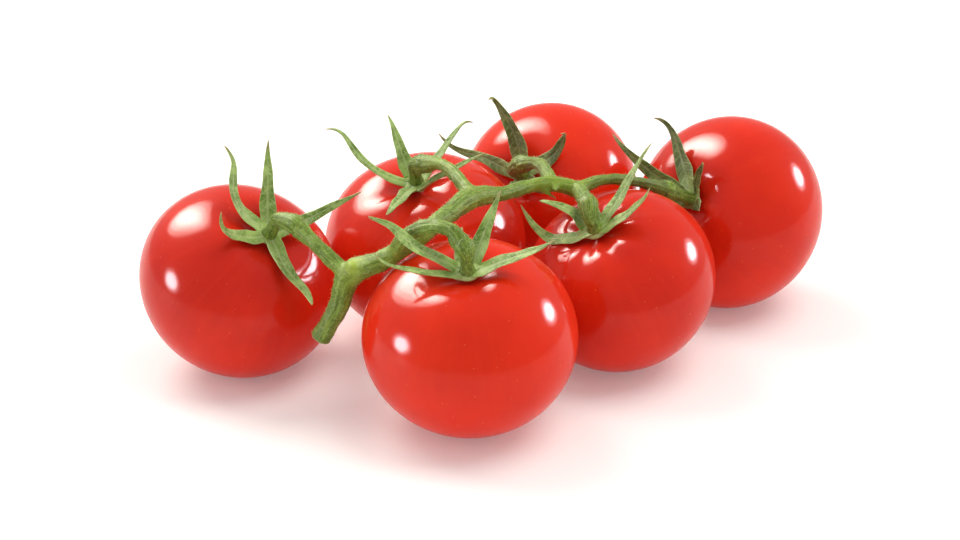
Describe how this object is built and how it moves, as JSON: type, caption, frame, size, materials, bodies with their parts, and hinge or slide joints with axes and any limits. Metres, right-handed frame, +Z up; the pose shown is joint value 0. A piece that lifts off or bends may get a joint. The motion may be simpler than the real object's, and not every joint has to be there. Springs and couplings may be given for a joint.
{
  "type": "truss of tomatoes",
  "caption": "Bunch of ripe red vine tomatoes still joined to their branching green stem, resting on a flat surface.",
  "frame": {"origin": "on the surface the bunch rests on, below the middle of its bounding box", "axes": "+X along the truss from the cut end of its stem toward the last fruit, +Y across it toward the side with the fruits numbered 1, 2 and 5, +Z up"},
  "size_m": [0.2111, 0.1372, 0.0723],
  "materials": {
    "fruit_skin": "smooth glossy ripe red tomato skin",
    "calyx_leaf": "matt mid green leaf with fine veins and dried tips",
    "pedicel_green": "satin light green stalk with fine hairs",
    "stem_green": "satin light green ribbed stem, pale at the cut end"
  },
  "bodies": {
    "root": {"fruit_1": "fruit_skin", "fruit_2": "fruit_skin", "fruit_3": "fruit_skin", "fruit_4": "fruit_skin", "fruit_5": "fruit_skin", "fruit_6": "fruit_skin", "calyx_1": "calyx_leaf", "calyx_2": "calyx_leaf", "calyx_3": "calyx_leaf", "calyx_4": "calyx_leaf", "calyx_5": "calyx_leaf", "calyx_6": "calyx_leaf", "pedicel_1": "pedicel_green", "pedicel_2": "pedicel_green", "pedicel_3": "pedicel_green", "pedicel_4": "pedicel_green", "pedicel_5": "pedicel_green", "pedicel_6": "pedicel_green", "rachis": "stem_green"}
  },
  "joints": []
}
